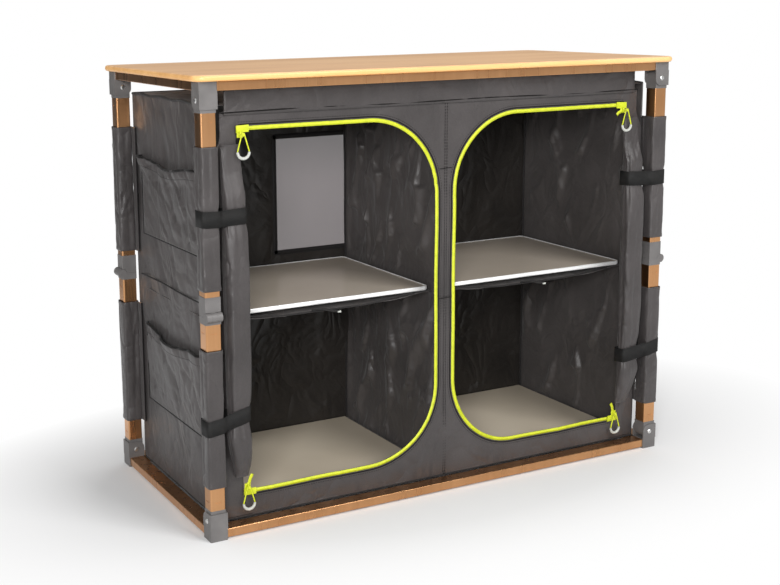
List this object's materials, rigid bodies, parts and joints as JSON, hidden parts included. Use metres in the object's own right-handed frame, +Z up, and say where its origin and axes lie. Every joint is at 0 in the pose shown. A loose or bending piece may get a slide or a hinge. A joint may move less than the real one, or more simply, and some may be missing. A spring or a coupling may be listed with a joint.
{
  "type": "camping cupboard",
  "caption": "Free-standing folding camping cupboard: bamboo top on a bronze tube frame with knee-hinged legs, a dark cloth cabinet with zipped doors rolled open, shelves and side pockets",
  "frame": {"origin": "on the floor under the centre of the overall box", "axes": "+Z up, +X to the right along the long side, -Y to the front where the doors are"},
  "size_m": [1.03, 0.475, 0.811],
  "materials": {
    "frame_bronze": "bronze anodised, satin",
    "bracket_grey": "moulded, fine matt",
    "rivet_steel": "domed steel rivets",
    "bamboo": "clear satin lacquer on narrow strips",
    "cabinet_fabric": "coated charcoal polyester with a soft sheen",
    "window_mesh": "fine grey insect mesh",
    "zip_lime": "bright coil zip on woven tape",
    "pull_cord": "thin lime cord with a pale grey grip",
    "strap_black": "woven black webbing",
    "shelf_board": "taupe satin laminate with a bright edge"
  },
  "bodies": {
    "base": {"bottom_rail_front": "frame_bronze", "bottom_rail_rear": "frame_bronze", "bottom_rail_left": "frame_bronze", "bottom_rail_right": "frame_bronze", "bottom_bracket_lf": "bracket_grey", "bottom_bracket_lr": "bracket_grey", "bottom_bracket_rr": "bracket_grey", "bottom_bracket_rf": "bracket_grey", "bottom_rivets": "rivet_steel", "floor_boards": "shelf_board", "cabinet_cloth": "cabinet_fabric", "mesh_window": "window_mesh", "zip_tracks": "zip_lime", "door_roll_left": "cabinet_fabric", "door_roll_right": "cabinet_fabric", "door_straps": "strap_black", "side_pockets": "cabinet_fabric"},
    "top": {"top_rail_front": "frame_bronze", "top_rail_rear": "frame_bronze", "top_rail_left": "frame_bronze", "top_rail_right": "frame_bronze", "top_bracket_lf": "bracket_grey", "top_bracket_lr": "bracket_grey", "top_bracket_rr": "bracket_grey", "top_bracket_rf": "bracket_grey", "top_rivets": "rivet_steel", "table_top": "bamboo"},
    "lf_lower_leg": {"lf_lower_tube": "frame_bronze", "lf_lower_fittings": "bracket_grey", "lf_lower_sleeve": "cabinet_fabric"},
    "lf_upper_leg": {"lf_upper_tube": "frame_bronze", "lf_upper_fittings": "bracket_grey", "lf_upper_sleeve": "cabinet_fabric"},
    "lr_lower_leg": {"lr_lower_tube": "frame_bronze", "lr_lower_fittings": "bracket_grey", "lr_lower_sleeve": "cabinet_fabric"},
    "lr_upper_leg": {"lr_upper_tube": "frame_bronze", "lr_upper_fittings": "bracket_grey", "lr_upper_sleeve": "cabinet_fabric"},
    "rr_lower_leg": {"rr_lower_tube": "frame_bronze", "rr_lower_fittings": "bracket_grey", "rr_lower_sleeve": "cabinet_fabric"},
    "rr_upper_leg": {"rr_upper_tube": "frame_bronze", "rr_upper_fittings": "bracket_grey", "rr_upper_sleeve": "cabinet_fabric"},
    "rf_lower_leg": {"rf_lower_tube": "frame_bronze", "rf_lower_fittings": "bracket_grey", "rf_lower_sleeve": "cabinet_fabric"},
    "rf_upper_leg": {"rf_upper_tube": "frame_bronze", "rf_upper_fittings": "bracket_grey", "rf_upper_sleeve": "cabinet_fabric"},
    "shelf_left": {"shelf_left": "shelf_board"},
    "zip_slider_left": {"zip_slider_left": "zip_lime"},
    "shelf_right": {"shelf_right": "shelf_board"},
    "zip_slider_right": {"zip_slider_right": "zip_lime"},
    "zip_pull_upper_left": {"zip_pull_upper_left": "pull_cord"},
    "zip_pull_upper_right": {"zip_pull_upper_right": "pull_cord"},
    "zip_pull_lower_left": {"zip_pull_lower_left": "pull_cord"},
    "zip_pull_lower_right": {"zip_pull_lower_right": "pull_cord"}
  },
  "joints": [
    {"name": "fold", "type": "hinge", "parent": "base", "child": "lf_lower_leg", "pos_m": [-0.4885, -0.211, 0.035], "axis": [-1, 0, 0], "range_deg": [0, 88], "deforming": ["cabinet_cloth", "mesh_window", "zip_tracks", "door_roll_left", "door_roll_right", "door_straps", "side_pockets", "zip_slider_right", "zip_pull_upper_right", "zip_pull_lower_right"]},
    {"name": "lf_knee", "type": "hinge", "parent": "lf_lower_leg", "child": "lf_upper_leg", "pos_m": [-0.4885, -0.2255, 0.402], "axis": [1, 0, 0], "range_deg": [0, 176]},
    {"name": "lf_top_pivot", "type": "hinge", "parent": "lf_upper_leg", "child": "top", "pos_m": [-0.4885, -0.211, 0.769], "axis": [-1, 0, 0], "range_deg": [0, 88]},
    {"name": "lr_foot_pivot", "type": "hinge", "parent": "base", "child": "lr_lower_leg", "pos_m": [-0.4885, 0.211, 0.035], "axis": [0, 1, 0], "range_deg": [0, 88]},
    {"name": "lr_knee", "type": "hinge", "parent": "lr_lower_leg", "child": "lr_upper_leg", "pos_m": [-0.503, 0.211, 0.402], "axis": [0, -1, 0], "range_deg": [0, 176]},
    {"name": "rr_foot_pivot", "type": "hinge", "parent": "base", "child": "rr_lower_leg", "pos_m": [0.4885, 0.211, 0.035], "axis": [1, 0, 0], "range_deg": [0, 88]},
    {"name": "rr_knee", "type": "hinge", "parent": "rr_lower_leg", "child": "rr_upper_leg", "pos_m": [0.4885, 0.2255, 0.402], "axis": [-1, 0, 0], "range_deg": [0, 176]},
    {"name": "rf_foot_pivot", "type": "hinge", "parent": "base", "child": "rf_lower_leg", "pos_m": [0.4885, -0.211, 0.035], "axis": [0, -1, 0], "range_deg": [0, 88]},
    {"name": "rf_knee", "type": "hinge", "parent": "rf_lower_leg", "child": "rf_upper_leg", "pos_m": [0.503, -0.211, 0.402], "axis": [0, 1, 0], "range_deg": [0, 176]},
    {"name": "shelf_left_drop", "type": "slide", "parent": "base", "child": "shelf_left", "axis": [0, 0, -1], "range_m": [0, 0.3215]},
    {"name": "zip_slider_left_drop", "type": "slide", "parent": "base", "child": "zip_slider_left", "axis": [0, 0, -1], "range_m": [0, 0.6125]},
    {"name": "shelf_right_drop", "type": "slide", "parent": "base", "child": "shelf_right", "axis": [0, 0, -1], "range_m": [0, 0.3215]},
    {"name": "zip_slider_right_drop", "type": "slide", "parent": "base", "child": "zip_slider_right", "axis": [0, 0, -1], "range_m": [0, 0.6125]},
    {"name": "zip_pull_upper_left_swing", "type": "hinge", "parent": "zip_slider_left", "child": "zip_pull_upper_left", "pos_m": [-0.4182, -0.2075, 0.7067], "axis": [0, -1, 0], "range_deg": [-50, 50]},
    {"name": "zip_pull_upper_right_swing", "type": "hinge", "parent": "zip_slider_right", "child": "zip_pull_upper_right", "pos_m": [0.4182, -0.2075, 0.7067], "axis": [0, -1, 0], "range_deg": [-50, 50]},
    {"name": "zip_pull_lower_left_swing", "type": "hinge", "parent": "base", "child": "zip_pull_lower_left", "pos_m": [-0.4182, -0.2005, 0.0763], "axis": [0, -1, 0], "range_deg": [-50, 50]},
    {"name": "zip_pull_lower_right_swing", "type": "hinge", "parent": "base", "child": "zip_pull_lower_right", "pos_m": [0.4182, -0.2005, 0.0763], "axis": [0, -1, 0], "range_deg": [-50, 50]}
  ],
  "couplings": [
    {"joint": "lf_knee", "follows": "fold", "ratio": 2},
    {"joint": "lf_top_pivot", "follows": "fold", "ratio": 1},
    {"joint": "lr_foot_pivot", "follows": "fold", "ratio": 1},
    {"joint": "lr_knee", "follows": "fold", "ratio": 2},
    {"joint": "rr_foot_pivot", "follows": "fold", "ratio": 1},
    {"joint": "rr_knee", "follows": "fold", "ratio": 2},
    {"joint": "rf_foot_pivot", "follows": "fold", "ratio": 1},
    {"joint": "rf_knee", "follows": "fold", "ratio": 2},
    {"joint": "shelf_left_drop", "follows": "fold", "m_per_rad": 0.2093},
    {"joint": "zip_slider_left_drop", "follows": "fold", "m_per_rad": 0.3987},
    {"joint": "shelf_right_drop", "follows": "fold", "m_per_rad": 0.2093},
    {"joint": "zip_slider_right_drop", "follows": "fold", "m_per_rad": 0.3987}
  ]
}
